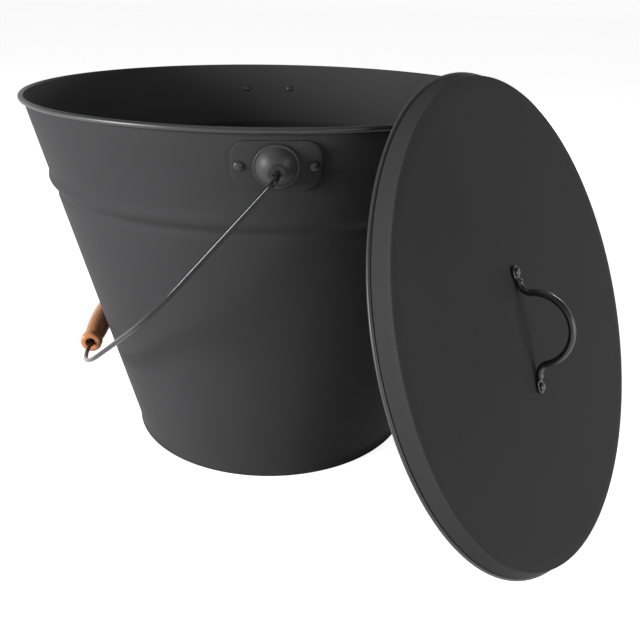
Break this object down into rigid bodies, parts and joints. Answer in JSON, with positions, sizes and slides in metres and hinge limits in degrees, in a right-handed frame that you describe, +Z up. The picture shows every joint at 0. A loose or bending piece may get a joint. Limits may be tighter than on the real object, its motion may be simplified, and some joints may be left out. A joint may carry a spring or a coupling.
{
  "type": "ash bucket",
  "caption": "Tapered steel ash bucket with a swinging wire bail and a turned wooden grip, and a loose round lid with a bent rod handle that leans on the rim.",
  "frame": {"origin": "centre of the bucket's foot, on the ground", "axes": "+Z up along the bucket's axis; Y through the ears, with the front ear at -Y; the bail hangs at -X and the lid leans between +X and -Y"},
  "size_m": [0.4601, 0.4942, 0.3008],
  "materials": {
    "charcoal_sheet": "satin charcoal powder coat",
    "pan_sheet": "satin charcoal powder coat",
    "ear_sheet": "satin charcoal powder coat",
    "cup_sheet": "satin charcoal powder coat",
    "rivet_steel": "satin charcoal powder coat",
    "bail_steel": "satin",
    "handle_steel": "satin",
    "grip_wood": "oiled, turned"
  },
  "bodies": {
    "bucket": {"body_shell": "charcoal_sheet", "bottom_pan": "pan_sheet", "front_ear_plate": "ear_sheet", "back_ear_plate": "ear_sheet", "front_ear_cup": "cup_sheet", "back_ear_cup": "cup_sheet", "front_ear_rivets": "rivet_steel", "back_ear_rivets": "rivet_steel"},
    "bail": {"bail_wire": "bail_steel"},
    "grip": {"wooden_grip": "grip_wood"},
    "lid": {"lid_shell": "charcoal_sheet", "lid_handle": "handle_steel", "lid_rivets": "rivet_steel"}
  },
  "joints": [
    {"name": "bail_swing", "type": "hinge", "parent": "bucket", "child": "bail", "pos_m": [0, 0, 0.25263], "axis": [0, 1, 0], "range_deg": [0, 200]},
    {"name": "grip_spin", "type": "hinge", "parent": "bail", "child": "grip", "pos_m": [-0.14675, 0, 0.08379], "axis": [0, 1, 0], "continuous": true},
    {"name": "lid_lift", "type": "slide", "parent": "bucket", "child": "lid", "axis": [0.701, -0.5987, 0.3875], "range_m": [0, 0.3]}
  ]
}
